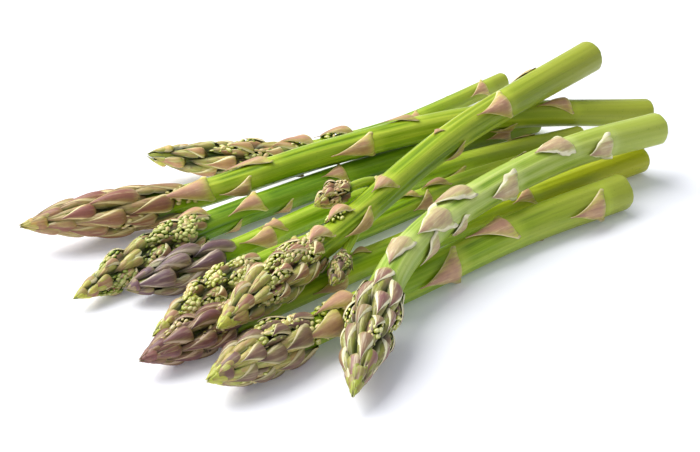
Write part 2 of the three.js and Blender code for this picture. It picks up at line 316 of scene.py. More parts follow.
@dataclass(frozen=True)
class ScaleSkin:
    """Scale leaf of a shoot: papery and satin, green at its root, reddened, with pale rims."""

    name: str
    root: str      # where the leaf leaves the shoot
    body: str      # its back
    blush: str     # where the sun has reddened it
    margin: str    # the thin dry rim
    young: str     # the youngest leaves, at the spear's own tip
    painted_shade: str      # painted shade where it is tucked under its neighbours
    rim_from: float = 0.78
    redness: float = 0.5
    roughness: float = 0.44

    def build(self) -> bpy.types.Material:
        """Make the material.

        Returns:
            The material.
        """
        s = Surface(self.name)
        along, across, chance = s.growth
        up_head, stand, _ = s.place
        side = s.add("Math", {"operation": "ABSOLUTE"}, {0: across})
        veins, clouds = s.grown(VEINS, CLOUDS)
        reach = s.weigh(along, (clouds, 0.35))
        color = s.add("ValToRGB", {"stops": ((0.2, self.root), (0.42, self.body),
                                             (0.75, self.body), (1.0, self.blush))}, {0: reach})
        # Its flanks stay green
        flank = s.weigh(side, (clouds, 0.5))
        color = s.lay(color, self.root, flank, start=0.55, stop=1.1, most=0.7)
        # Redness: strongest along the middle, different from leaf to leaf, none at the root
        off_middle = s.add("Math", {"operation": "POWER"}, {0: side, 1: 1.7})
        red = s.weigh(self.redness - 0.55, (off_middle, -0.45), (clouds, 1.0))
        red = s.add("Math", {"operation": "MULTIPLY_ADD", "use_clamp": True},
                    {0: chance, 1: 0.5, 2: red})
        past_root = s.add("MapRange", {"interpolation_type": "SMOOTHSTEP"},
                          {"Value": along, "From Min": 0.02, "From Max": 0.26})
        red = s.add("Math", {"operation": "MULTIPLY"}, {0: red, 1: past_root})
        color = s.add("MixRGB", inputs={0: red, 1: color, 2: self.blush})
        # Dark and pale veins
        color = s.lay(color, self.blush, veins, start=0.5, stop=0.64, most=0.5)
        color = s.lay(color, self.margin, veins, start=0.46, stop=0.34, most=0.32)
        fresh = s.weigh(up_head, (clouds, 0.4))
        color = s.lay(color, self.young, fresh, start=0.44, stop=0.24, most=0.65)
        edge = s.weigh(side, (veins, 0.3))
        color = s.lay(color, self.margin, edge, start=self.rim_from + 0.15,
                      stop=self.rim_from + 0.28, most=0.9)
        # Painted shade: darker where a leaf stands out little from the head's body
        color = s.lay(color, self.painted_shade, stand, start=0.78, stop=0.2, most=0.9)
        value = s.add("MapRange", inputs={"Value": chance, "To Min": 0.86, "To Max": 1.22})
        color = s.add("HueSaturation", inputs={"Color": color, "Value": value})
        gloss = s.add("MapRange", inputs={"Value": clouds, "To Min": self.roughness - 0.12,
                                          "To Max": self.roughness + 0.12})
        return s.finish(color, veins, 0.4, gloss, (0.1, (1.0, 0.8, 0.3), 0.7))


@dataclass(frozen=True)
class BudSkin:
    """Flower buds of a shoot: tiny firm beads, yellow-green, with painted shade between them and
    painted highlights on their tops.
    """

    name: str
    painted_shade: str      # painted shade in the gaps between beads and on their sides
    green: str     # their sides
    cap: str       # painted highlight on their tops
    flush: str = "#d8a07c"
    roughness: float = 0.4

    def build(self) -> bpy.types.Material:
        """Make the material.

        Returns:
            The material.
        """
        s = Surface(self.name)
        out, chance, cluster = s.growth
        petals, = s.grown(PETALS)
        # Painted light: lighter towards each bud's outward top and darker at its sides, varied by
        # chance and petal folds
        level = s.weigh(-0.42, (chance, 0.3), (out, 1.05), (petals, 0.6))
        color = s.add("ValToRGB", {"stops": ((0.24, self.painted_shade), (0.52, self.green),
                                             (0.92, self.cap))}, {0: level})
        # One bud in three is flushed pink at its cap
        flush = s.add("Math", {"operation": "MULTIPLY"}, {0: out, 1: chance})
        color = s.lay(color, self.flush, flush, start=0.42, stop=0.8, most=0.6)
        value = s.add("MapRange", inputs={"Value": cluster, "To Min": 0.8, "To Max": 1.15})
        color = s.add("HueSaturation", inputs={"Color": color, "Saturation": 1.08, "Value": value})
        return s.finish(color, petals, 0.3, self.roughness, (0.15, (0.8, 1.0, 0.2), 0.8))


@dataclass(frozen=True)
class CutFlesh:
    """Cut end of a shoot: wet pale flesh, a ring of green skin and dots of fibre bundles."""

    name: str = "cut_flesh"
    flesh: str = "#d8dca6"
    rim: str = "#9db35a"
    fibre: str = "#a9b578"

    def build(self) -> bpy.types.Material:
        """Make the material.

        Returns:
            The material.
        """
        s = Surface(self.name)
        mottle, = s.grown(MOTTLE)
        radial = s.weigh(s.growth[0], (mottle, 0.16))
        color = s.add("ValToRGB", {"stops": ((0.0, self.flesh), (0.88, self.flesh),
                                             (1.0, self.rim))}, {0: radial})
        # Fibre bundles of 0.4 mm, about 1 mm apart
        dots = s.add("TexVoronoi", inputs={"Vector": s.skin_mm, "Scale": 1.0})
        color = s.lay(color, self.fibre, dots, start=0.26, stop=0.16, most=0.7)
        return s.finish(color, dots, 0.12, 0.35, (0.2, (1.0, 1.0, 0.5), 1.5))


@dataclass(frozen=True)
class PaperFloor:
    """White seamless paper, matt, with a faint even glow that stands for the bright room."""

    name: str = "white_paper"
    white: str = "#f6f6f8"
    room: str = "#eef0ff"
    glow: float = 0.1

    def build(self) -> bpy.types.Material:
        """Make the material.

        Returns:
            The material.
        """
        s = Surface(self.name)
        grain = s.add("TexNoise", inputs={"Scale": 900.0, "Detail": 2.0})
        paper = s.add("MixRGB", inputs={0: 0.02, 1: self.white, 2: grain})
        return s.finish(paper, grain, 0.02, 0.6, fixed={
            "Emission Color": linear(self.room), "Emission Strength": self.glow})


Finish = StemSkin | ScaleSkin | BudSkin | CutFlesh | PaperFloor


# Finishes of this bundle
SPRING_GREEN = StemSkin("spring_green_skin", "#527802", "#8fb212", "#c0d344", "#a8b03c", "#3a4610")
PALE_GREEN = StemSkin("pale_green_skin", "#6c9420", "#a0bb40", "#ccda7c", "#b4c04a")
DEEP_GREEN = StemSkin("deep_green_skin", "#3a6000", "#68900a", "#98b82e", "#94a622", "#3a4610")
OLIVE_GREEN = StemSkin("olive_green_skin", "#547400", "#8dab0c", "#c2d040", "#a8ae3a", "#3a4010")
YELLOW_GREEN = StemSkin("yellow_green_skin", "#587a00", "#92ae0c", "#bccb38", "#c0c022")
TAN_HOODS = ScaleSkin("tan_hood", "#b8b450", "#b88a5c", "#865244", "#e0cf94", "#b89c3e", "#4a3014",
                      0.72, 0.56)
TAN_INNER = ScaleSkin("tan_inner_scale", "#93a23a", "#b8a85e", "#997050", "#e4daa0", "#bab452",
                      "#363812", redness=0.35)
MAUVE_HOODS = ScaleSkin("mauve_hood", "#98945a", "#92726a", "#634750", "#ccbaa4", "#8c6860",
                        "#332423", 0.7, 0.6)
MAUVE_INNER = ScaleSkin("mauve_inner_scale", "#8c9a40", "#a8a05c", "#806062", "#dcd4a4", "#9c8c60",
                        "#303012", 0.66, 0.4)
PURPLE_HOODS = ScaleSkin("purple_hood", "#b8b05c", "#9c685a", "#633b3e", "#d2b698", "#8e564a",
                         "#281410", 0.7, 0.58)
PURPLE_INNER = ScaleSkin("purple_inner_scale", "#a8b04c", "#a4844e", "#744a42", "#dcd096",
                         "#8c5e56", "#2c2210", 0.66, 0.42)
SAGE_HOODS = ScaleSkin("sage_hood", "#b4bc50", "#bca66e", "#865c54", "#f2ebbe", "#a8b030",
                       "#3c3612", 0.6, 0.52)
SAGE_INNER = ScaleSkin("sage_inner_scale", "#7e9a1e", "#a8b038", "#7c624a", "#e8e6a4", "#a4b42c",
                       "#34400e", 0.6, 0.3)
BLUSH_HOODS = ScaleSkin("blush_hood", "#bcc450", "#c89c66", "#8c5c4c", "#f2e2b0", "#bcc82c",
                        "#403014", 0.64, 0.5)
BLUSH_INNER = ScaleSkin("blush_inner_scale", "#9cb03a", "#bcc056", "#a67e58", "#f0ecb2", "#c0cc36",
                        "#343e12", 0.66, 0.28)
APRICOT_HOODS = ScaleSkin("apricot_hood", "#ccd052", "#d8b070", "#b07e5e", "#f4e6b4", "#d0cc40",
                          "#4c4418", 0.7, 0.35)
HAZEL_HOODS = ScaleSkin("hazel_hood", "#9ea648", "#a08460", "#6f4f46", "#d6c898", "#b8c034",
                        "#3a2e18", 0.7, 0.5)
LIME_HOODS = ScaleSkin("lime_hood", "#9cac38", "#bc9a64", "#946850", "#e6dcaa", "#a4b03c",
                       "#3a4012", 0.62, 0.45)
PINK_BRACTS = ScaleSkin("pink_bract", "#c8c850", "#deb682", "#b0806a", "#f0dcaa", "#deb682",
                        "#a8845a", 0.86, 0.4)
CREAM_BRACTS = ScaleSkin("cream_bract", "#ccd674", "#dccd92", "#b08c70", "#f8f0c8", "#dccd92",
                         "#8a7a50", 0.7, 0.3)
LIME_BUDS = BudSkin("lime_buds", "#323f0a", "#a2ac34", "#f6f0b4")
GREEN_BUDS = BudSkin("green_buds", "#243808", "#84982c", "#e8e6a0")
BLUSH_BUDS = BudSkin("blush_buds", "#403c14", "#b0a454", "#f0e2b4")
ROSE_BUDS = BudSkin("rose_buds", "#4a3c16", "#b8985c", "#f4e0b8")
CUT_FLESH = CutFlesh()
PAPER = PaperFloor()


# Sizes of the pieces, in millimetres


@dataclass(frozen=True)
class LeafForm:
    """Outline and swell of a kind of scale leaf."""

    shoulder: float      # where it is widest, as a share of its length
    root_width: float    # width at the root as a share of the widest
    taper: tuple[float, float]  # width past the shoulder: (1 - x ** first) ** second
    root_arc: float      # how far the root's middle lies behind its corners, in lengths
    crest: float         # where its back is highest, as a share of its length
    hollow: float        # how far its edges lie below its back, as a share of its height
    flare: float         # how far its rear corners stand off, in millimetres
    tip: float           # height of its tip as a share of its back's
    rows: int = 15
    columns: int = 11
    thick: float = 0.4   # at its middle, in millimetres; 0 for a single sheet
    jag: float = 0.0     # raggedness of its edges


HOOD = LeafForm(0.17, 0.78, (1.15, 1.35), 0.12, 0.2, 0.75, 0.4, 0.35)
TIP_SCALE = LeafForm(0.3, 0.7, (1.5, 1.1), 0.08, 0.3, 0.8, 0.1, 0.4)
INNER_SCALE = LeafForm(0.34, 0.5, (1.8, 0.9), 0.05, 0.35, 1.25, 0.0, 0.5, rows=9, columns=7,
                       thick=0)
FLANK_SCALE = LeafForm(0.35, 0.6, (1.6, 1.0), 0.08, 0.35, 0.7, 0.2, 0.4, rows=11, columns=7,
                       thick=0.3)
BRACT = LeafForm(0.08, 0.93, (0.95, 1.5), -0.03, 0.2, 0.72, 0.95, 0.3, rows=21, columns=13)
TORN_BRACT = LeafForm(0.16, 0.92, (1.25, 1.15), 0.02, 0.22, 0.55, 1.0, 0.45, rows=25, columns=13,
                      jag=0.08)


@dataclass(frozen=True)
class SideBud:
    """Swelling of a side bud, in millimetres and radians."""

    root: float          # distance of its root from the spear's tip
    angle: float         # turn of its middle from the top
    length: float
    half_width: float
    height: float        # how far its back stands off the body
    girth: float         # radius at which its width is measured
    bend: float = 0.0    # sideways sweep of its tip, in half widths
    on_head: bool = True

    def share(self, distance: Array, angle: Array) -> Array:
        """Its height at some points, as a share of its full height.

        Args:
            distance: distance from the spear's tip.
            angle: turn from the top.

        Returns:
            Numbers from 0 to 1.
        """
        along = np.clip((self.root - distance) / self.length, 0, 1)
        reach = self.half_width * (1 - 0.5 * along ** 1.6)
        off = turn_from(self.angle, angle)
        beside = (off * self.girth - self.bend * self.half_width * along ** 2) / reach
        return np.sin(np.pi * along ** 0.6) ** 0.55 * np.sqrt(np.maximum(1 - beside ** 2, 0))


@dataclass(frozen=True)
class ScaleCover:
    """The side buds of a head and their covering leaves."""

    count: int                        # side buds on the head
    length: float                     # of the largest
    width: float                      # of its covering leaf
    plump: float = 0.9                # how far buds fill the room round the core
    hooded: float = 1.0               # share of the buds that keep their covering leaf
    opened: tuple[float, float] = (0.0, 0.0)   # share open to round buds, at tip and rear
    hood_size: float = 1.0            # covering leaf against the bud under it
    inner: int = 5                    # small scales round a bud that is still closed
    open_inner: int = 2               # and round an open one
    open_hood: float = 0.6            # covering leaf of an open bud against the bud
    open_from: float = 0.5            # share of the head from which buds are open


@dataclass(frozen=True)
class BudCover:
    """The round buds on an open side bud."""

    bead: float          # radius of one bud
    beads: int           # buds on one


@dataclass(frozen=True)
class SpearSizes:
    """One spear: its route from tip to cut end and its sizes, as in the part."""

    name: str
    route: tuple[Point, ...]
    head: float                  # length of the head
    joint: float                 # where its piece meets the stem's
    head_radius: float
    neck_radius: float           # where the head ends
    butt_radius: float           # at the cut end
    scales: ScaleCover
    buds: BudCover
    stem_skin: StemSkin
    hood_skin: ScaleSkin
    inner_skin: ScaleSkin
    bud_skin: BudSkin
    bract_skin: ScaleSkin = PINK_BRACTS
    bract_form: LeafForm = BRACT
    bracts: tuple[tuple[float, float, float, float], ...] = ()  # root, degrees, length, width
    groove: float = 0.16         # depth of the furrows that run on from each single leaf
    taper: float = HEAD_TAPER
    budded: float = 0.0          # single leaves up to here have round buds under them


# The nine spears: millimetres, and degrees round the stem from its top
SPEARS = (
    SpearSizes(
        "a", ((-127.5, 63.5, 12), (-69.5, 52.5, 10.1), (-4, 47, 14.8), (65, 37.5, 15.4),
              (134.5, 17.5, 7.6)),
        62, 73, 9, 5, 5.5, ScaleCover(27, 22, 9.6, 0.95, 1.0, (0, 0.35), 0.86), BudCover(0.75, 18),
        OLIVE_GREEN, TAN_HOODS, TAN_INNER, BLUSH_BUDS, budded=75,
        bracts=((72, 45, 23, 9), (88, 100, 14, 8), (99, 335, 21, 9), (112, 220, 18, 9),
                (142, 78, 21, 9), (163, 340, 15, 8), (186, 240, 16, 8), (206, 148, 11, 8),
                (231, 20, 16, 9))),
    SpearSizes(
        "b", ((-59.5, 92, 11.2), (-38, 79.5, 8.6), (-11, 72.5, 5.4), (43, 71.5, 3.8),
              (109, 80.5, 6.2)),
        60, 69, 7.6, 3.6, 3.8, ScaleCover(24, 16, 8.4, 0.95, 0.95, (0, 0.8), 0.76),
        BudCover(0.75, 18),
        SPRING_GREEN, APRICOT_HOODS, BLUSH_INNER, LIME_BUDS, taper=0.6, budded=90,
        bracts=((68, 350, 18, 8), (87, 345, 18, 8), (98, 180, 14, 6), (121, 50, 12, 6),
                (144, 250, 13, 6), (161, 45, 12, 7))),
    SpearSizes(
        "c", ((-131.5, 15.5, 5.5), (-79.5, 32, 6.7), (-24.5, 41, 5.1), (35, 44.3, 4.8),
              (95, 42.5, 4.8)),
        66, 70, 7.5, 4.9, 5.1,
        ScaleCover(30, 13, 8.8, 1.0, 0.75, (0.5, 1.3), 0.68, 5, 2, 0.55, 0.3), BudCover(0.82, 20),
        DEEP_GREEN, LIME_HOODS, BLUSH_INNER, GREEN_BUDS, budded=70,
        bracts=((67, 343, 15, 8), (80, 120, 9, 6), (92, 32, 18, 8), (105, 110, 9, 6),
                (133, 36, 13, 8), (160, 200, 14, 7), (188, 320, 14, 7), (214, 80, 13, 7))),
    SpearSizes(
        "d", ((-114.5, 9.5, 6.6), (-90, 9.5, 6.9), (-64, 15.5, 5), (-13, 25.5, 4.1),
              (42.5, 27.5, 4.1), (100, 20, 4.3)),
        45, 47, 7.4, 4.2, 4.6, ScaleCover(17, 16, 9.2, 0.95, 1.0, (0, 0.2)), BudCover(0.7, 18),
        SPRING_GREEN, MAUVE_HOODS, MAUVE_INNER, BLUSH_BUDS, taper=0.65,
        bracts=((65, 65, 18, 10), (70, 18, 11, 7), (92, 240, 14, 7), (128, 0, 15, 7),
                (160, 120, 14, 7), (196, 300, 14, 7))),
    SpearSizes(
        "e", ((-121, -20, 4.8), (-73, -2, 5.7), (-21, 5, 4.3), (35.5, 12, 4.4), (94, 9, 4.6)),
        56, 60, 6.7, 4.3, 4.9,
        ScaleCover(26, 12.5, 8.2, 1.0, 0.75, (0.8, 1.2), 0.68, 5, 2, 0.55, 0.3), BudCover(0.8, 19),
        SPRING_GREEN, LIME_HOODS, BLUSH_INNER, LIME_BUDS,
        bracts=((76, 30, 14, 8), (96, 200, 14, 7), (134, 345, 11, 8), (139, 70, 12, 8),
                (150, 345, 13, 8), (190, 130, 14, 7))),
    SpearSizes(
        "f", ((-134.5, -36, 8), (-82, -26, 5.5), (-25, -18, 5.1), (37, -13.5, 5), (103, -12, 6)),
        47, 51, 7.8, 4.9, 5.4, ScaleCover(26, 17, 8, 0.95, 1.0, (0, 0.5), 0.9), BudCover(0.7, 18),
        YELLOW_GREEN, PURPLE_HOODS, PURPLE_INNER, BLUSH_BUDS,
        bracts=((50, 20, 14, 9), (89, 88, 18, 10), (102, 350, 8, 6), (126, 230, 15, 8),
                (152, 330, 14, 8), (180, 40, 11, 7), (208, 150, 14, 8))),
    SpearSizes(
        "g", ((-91.5, -92, 8), (-66, -66, 13.5), (-33, -42, 19.3), (10, -26.5, 21.6),
              (60, -17.5, 22), (107, -15.6, 19.2)),
        58, 60, 8.9, 5.7, 6.3, ScaleCover(34, 16, 8.4, 0.95, 0.95, (0, 0.45), 0.82, 6),
        BudCover(0.7, 20),
        PALE_GREEN, SAGE_HOODS, SAGE_INNER, LIME_BUDS, CREAM_BRACTS, TORN_BRACT, taper=1.0,
        bracts=((77, 350, 16, 9), (89, 102, 14, 9), (100, 33, 21, 10), (108, 120, 10, 8),
                (117, 347, 19, 11), (126, 220, 15, 9), (139, 82, 17, 10), (156, 270, 14, 8),
                (172, 14, 18, 10), (192, 82, 13, 9))),
    SpearSizes(
        "h", ((-112, -47, 17.5), (-44, -15.5, 18.4), (33.5, 17, 23.8), (120, 39, 28.6)),
        62, 68, 8.3, 4.8, 6.6,
        ScaleCover(38, 14.5, 7.6, 1.0, 0.85, (-0.1, 1.2), 0.68, 7, 2, 0.6, 0.35),
        BudCover(0.7, 22),
        OLIVE_GREEN, BLUSH_HOODS, BLUSH_INNER, LIME_BUDS, groove=0.42, budded=84,
        bracts=((66, 5, 15, 8), (83, 340, 14, 8), (91, 95, 20, 8), (109, 10, 13, 9),
                (122, 200, 15, 8), (150, 345, 6, 4), (156, 130, 14, 8), (188, 54, 21, 11),
                (216, 290, 14, 8))),
    SpearSizes(
        "j", ((-125, -61.5, 10), (-79, -50.5, 7.2), (-29, -40.5, 5.8), (24, -33, 6.8),
              (75, -31.2, 7)),
        47, 68, 9, 5.4, 6.9, ScaleCover(28, 17, 10, 0.95, 1.0, (0, 0.75), 0.82),
        BudCover(0.76, 20),
        SPRING_GREEN, HAZEL_HOODS, BLUSH_INNER, LIME_BUDS, budded=68,
        bracts=((57, 65, 22, 10), (67, 10, 23, 10), (90, 240, 16, 9), (116, 77, 22, 12),
                (145, 20, 23, 11), (162, 200, 15, 9), (189, 82, 19, 11))),
)

# Side shoots of spear h: a stalk from the axil of a single scale leaf and a small head
SIDE_SHOOTS = (
    SpearSizes(
        "side_tip_1",
        ((-45, -2.5, 23.6), (-37, -1.5, 24.8), (-29, -0.5, 25.2), (-18.5, 2.5, 23.6), (-9, 4, 20)),
        17, 18, 4.2, 1.6, 2, ScaleCover(15, 7.5, 4.8, 0.95, 0.7, (0.9, 1.1), 0.8, 3, 2, 0.6),
        BudCover(0.5, 14),
        OLIVE_GREEN, BLUSH_HOODS, BLUSH_INNER, ROSE_BUDS),
    SpearSizes(
        "side_tip_2",
        ((-62.5, -38.5, 13.6), (-54, -31, 13.8), (-46, -23, 14.4), (-39, -17.5, 16),
         (-31, -11.5, 18.4)),
        20, 21, 3.8, 1.5, 2, ScaleCover(16, 7.5, 4.4, 0.95, 0.8, (0.7, 0.9), 0.9, 3, 2, 0.6),
        BudCover(0.5, 14),
        OLIVE_GREEN, HAZEL_HOODS, BLUSH_INNER, GREEN_BUDS),
)


# Helpers for the meshes


def rows_of(*grids: Array | float) -> Array:
    """Put grids side by side.

    Args:
        grids: three grids or numbers; together they have the shape of the whole grid.

    Returns:
        Rows of three numbers, one for each point of the grid.
    """
    return np.stack(np.broadcast_arrays(*grids), -1).reshape(-1, 3)


def full_turn(count: int) -> Array:
    """Even angles round a full turn, in radians."""
    return np.linspace(0, 2 * np.pi, count, endpoint=False)


def turn_from(middle: float, angle: Array) -> Array:
    """Turn from a middle direction to other ones, between half a turn back and half a turn on."""
    return (angle - middle + np.pi) % (2 * np.pi) - np.pi


def grid_faces(rows: int, columns: int, closed: bool, start: int = 0, flip: bool = False) -> Faces:
    """Faces of a grid of points.

    Args:
        rows: rows of points.
        columns: points in a row.
        closed: join the last column to the first.
        start: number of the first point.
        flip: turn the faces over.

    Returns:
        Four-sided faces.
    """
    faces = []
    for row in range(rows - 1):
        for column in range(columns if closed else columns - 1):
            beside = (column + 1) % columns
            a, b = start + row * columns + column, start + row * columns + beside
            c, d = b + columns, a + columns
            faces.append((d, c, b, a) if flip else (a, b, c, d))
    return faces


def new_object(name: str, data: bpy.types.ID) -> bpy.types.Object:
    """Make an object and link it to the scene.

    Args:
        name: its name.
        data: its mesh, light or camera.

    Returns:
        The object.
    """
    thing = bpy.data.objects.new(name, data)
    bpy.context.collection.objects.link(thing)
    return thing


class MiddleLine:
    """A spear's middle line, with its own up and side directions at each distance from the tip."""

    def __init__(self, route: tuple[Point, ...]) -> None:
        """Sample a smooth curve through the route's points at even steps.

        Args:
            route: points from the tip to the cut end, in millimetres.
        """
        points = np.array(route, float) + np.array(PILE_SHIFT_MM)
        ends = np.vstack([2 * points[0] - points[1], points, 2 * points[-1] - points[-2]])
        share = np.linspace(0, 1, CURVE_STEPS, endpoint=False)[:, None]
        pieces = []
        for before, start, stop, after in zip(ends, ends[1:], ends[2:], ends[3:]):
            pieces.append(0.5 * (2 * start + (stop - before) * share
                                 + (2 * before - 5 * start + 4 * stop - after) * share ** 2
                                 + (3 * start - before - 3 * stop + after) * share ** 3))
        dense = np.vstack([*pieces, points[-1:]])
        run = np.r_[0, np.cumsum(np.linalg.norm(np.diff(dense, axis=0), axis=1))]
        self.length = float(run[-1])
        self.steps = np.linspace(0, self.length, int(self.length / LINE_STEP_MM))
        self.centre = np.stack([np.interp(self.steps, run, dense[:, k]) for k in range(3)], 1)
        along = np.gradient(self.centre, axis=0)
        self.along = along / np.linalg.norm(along, axis=1)[:, None]
        side = np.cross(self.along, (0.0, 0.0, 1.0))
        self.side = side / np.linalg.norm(side, axis=1)[:, None]
        self.up = np.cross(self.side, self.along)

    def place(self, distance: Array, angle: Array, radius: Array) -> Array:
        """Points around the line.

        Args:
            distance: distance from the tip, in millimetres.
            angle: turn from the top, in radians.
            radius: distance from the line, in millimetres.

        Returns:
            Points in metres, one row each.
        """
        distance, angle, radius = (a.ravel() for a in np.broadcast_arrays(distance, angle, radius))
        kept = np.clip(distance, 0, self.length)

        def at(values: Array) -> Array:
            """Read an evenly sampled vector at the kept distances."""
            return np.stack([np.interp(kept, self.steps, values[:, k]) for k in range(3)], 1)

        point = at(self.centre) + at(self.along) * (distance - kept)[:, None]
        point += at(self.up) * (radius * np.cos(angle))[:, None]
        point += at(self.side) * (radius * np.sin(angle))[:, None]
        return point * MM


@dataclass
class Shell:
    """A stretch of mesh: points, faces and what the paints read at each point."""

    points: Array          # metres
    faces: Faces
    growth: Array          # place on the leaf or stem, and a chance number
    skin_mm: Array         # millimetres over the surface, for the grain
    place: Array           # head lengths from the spear's tip, and how far it stands out
    material: int = 0


@dataclass
class Spear:
    """One spear: its stem with single scale leaves and its head of crowded ones."""

    sizes: SpearSizes
    seed: int
    ring_step_mm: float = 2.2
    sides: int = 96
    line: MiddleLine = field(init=False)
    random: np.random.Generator = field(init=False)
    ridge_turns: Array = field(init=False)

    def __post_init__(self) -> None:
        """Lay out the spear's middle line and start its random draws."""
        self.line = MiddleLine(self.sizes.route)
        self.random = np.random.default_rng(self.seed)
        self.ridge_turns = self.random.random(len(RIBS)) * 2 * np.pi

    def outer_radius(self, distance: Array) -> Array:
        """Outer radius at a distance from the tip, scale leaves of the head included.

        Args:
            distance: distance from the tip, in millimetres.

        Returns:
            Radius in millimetres.
        """
        s = self.sizes
        share = np.clip(distance / s.head, 0, 1)
        swell = (np.minimum(share, HEAD_WIDEST) / HEAD_WIDEST) ** s.taper
        front = s.head_radius * np.sin(0.5 * np.pi * swell)
        fall = np.clip((share - HEAD_WIDEST) / (1 - HEAD_WIDEST), 0, 1)
        back = s.head_radius - (s.head_radius - s.neck_radius) * fall ** HEAD_FALL
        stem_share = (distance - s.head) / (self.line.length - s.head)
        stem = s.neck_radius + (s.butt_radius - s.neck_radius) * stem_share
        return np.where(share < HEAD_WIDEST, front, np.where(share < 1, back, stem))

    def body_radius(self, distance: Array) -> Array:
        """Radius of the body that the scale leaves grow from, in millimetres."""
        share = np.clip((self.sizes.head - distance) / (self.sizes.head * (1 - HEAD_WIDEST)), 0, 1)
        return self.outer_radius(distance) * (1 + (CORE_SHARE - 1) * share)

    def ground(self, bud: SideBud, distance: Array, angle: Array) -> Array:
        """Radius of the surface that a side bud makes over the body.

        Args:
            bud: the side bud.
            distance: distance from the tip.
            angle: turn from the top.

        Returns:
            Radius in millimetres.
        """
        body = np.maximum(self.body_radius(distance), 0.12)
        height = bud.height * bud.share(distance, angle)
        if bud.on_head:
            height = height * (self.outer_radius(distance) - body)
        return body + np.maximum(height, 0)

    def leaf(self, form: LeafForm, bud: SideBud, root: float, angle: float, length: float,
             width: float, back: float, bend: float = 0.0, lift: float = 0.0,
             clear: float = 0.12) -> Shell:
        """One scale leaf that hugs a side bud, its tip towards the spear's tip.

        Args:
            form: outline and swell.
            bud: side bud that it lies on.
            root: distance of its root from the spear's tip.
            angle: turn of its middle from the top.
            length: its length.
            width: its widest width.
            back: height of its back over what it lies on.
            bend: sideways sweep of its tip, in widths.
            lift: extra height of its tip.
            clear: gap between its edges and what it lies on.

        Returns:
            The leaf's shell.
        """
        rows, columns = form.rows, form.columns
        u = (np.linspace(0, 1, rows) ** ROW_CROWDING)[:, None]
        v = np.linspace(-1, 1, columns)[None, :]
        side = np.abs(v)
        before = np.clip(u / form.shoulder, 0, 1)
        after = np.clip((u - form.shoulder) / (1 - form.shoulder), 0, 1)
        outline = form.root_width + (1 - form.root_width) * np.sin(0.5 * np.pi * before)
        outline = outline * np.maximum(1 - after ** form.taper[0], 0) ** form.taper[1]
        outline = np.maximum(outline, LEAST_WIDTH)
        chance = self.random.random(8)
        arc = form.root_arc * (1 - v ** 2) * (1 - u) ** 2
        if form.jag:
            teeth = (np.sin(u * 9 * (0.7 + chance[0]) + 7 * chance[1] + 2 * v)
                     + 0.5 * np.sin(u * 21 * (0.7 + chance[2]) + 9 * chance[1]))
            torn = teeth * np.clip(u * 6, 0, 1) * np.clip((1 - u) * 4, 0, 1)
            outline = outline * (1 + form.jag * torn)
            arc = arc + form.jag * 0.7 * np.sin(v * 5 + 6 * chance[6]) * (1 - u) ** 2
        distance = root - length * (u - arc)
        across = v * outline * width / 2 + bend * width * u ** 2
        turned = angle + np.clip(across / bud.girth, -1.9, 1.9)
        rise = 1 - (1 - np.clip(u / form.crest, 0, 1)) ** 2
        past_crest = np.clip((u - form.crest) / (1 - form.crest), 0, 1)
        height = (back * rise * (1 - (1 - form.tip) * past_crest ** 1.2)
                  * (1 - form.hollow * side ** 2.2))
        height = height + (form.flare * side ** 3 * np.exp(-(u / FLARE_REACH) ** 2)
                           * (0.4 + chance[4]) * width / 10)
        height = height + lift * u ** 3 + clear
        sunk = (1 - np.clip(u / ROOT_REACH, 0, 1)) * (1 - 0.8 * side ** 3)
        height = height - (clear + ROOT_SINK_MM) * sunk
        height = height + WAVE * back * (chance[5] - 0.5) * np.sin(5 * u + 4 * v)
        radius = self.ground(bud, distance, turned) + height
        points = self.line.place(distance, turned, radius)
        body = self.body_radius(distance)
        room = self.outer_radius(distance) - body + 0.5 if bud.on_head else AXIL_ROOM_MM
        place = rows_of(np.clip(root / self.sizes.head, 0, 1),
                        np.clip((radius - body) / room, 0, 1.3), 0.0)
        growth = rows_of(u, v, chance[3])
        skin = rows_of(across, u * length, chance[7] * 90)
        faces = grid_faces(rows, columns, False)
        if not form.thick:
            return Shell(points, faces, growth, skin, place)
        thick = form.thick * (1 - 0.7 * side ** 3) * (1 - 0.6 * u)
        inner = self.line.place(distance, turned, np.maximum(radius - thick, 0.05))
        count = rows * columns
        faces += grid_faces(rows, columns, False, count, True)
        ring = [i * columns for i in range(rows)]
        ring += [(rows - 1) * columns + j for j in range(1, columns)]
        ring += [i * columns + columns - 1 for i in range(rows - 2, -1, -1)]
        ring += list(range(columns - 2, 0, -1))
        for here, there in zip(ring, ring[1:] + ring[:1]):
            faces.append((here, there, there + count, here + count))
        # The underside counts as standing out half as far, so it gets more painted shade
        return Shell(np.vstack([points, inner]), faces, np.vstack([growth] * 2),
                     np.vstack([skin] * 2), np.vstack([place, place * (1, 0.5, 1)]))

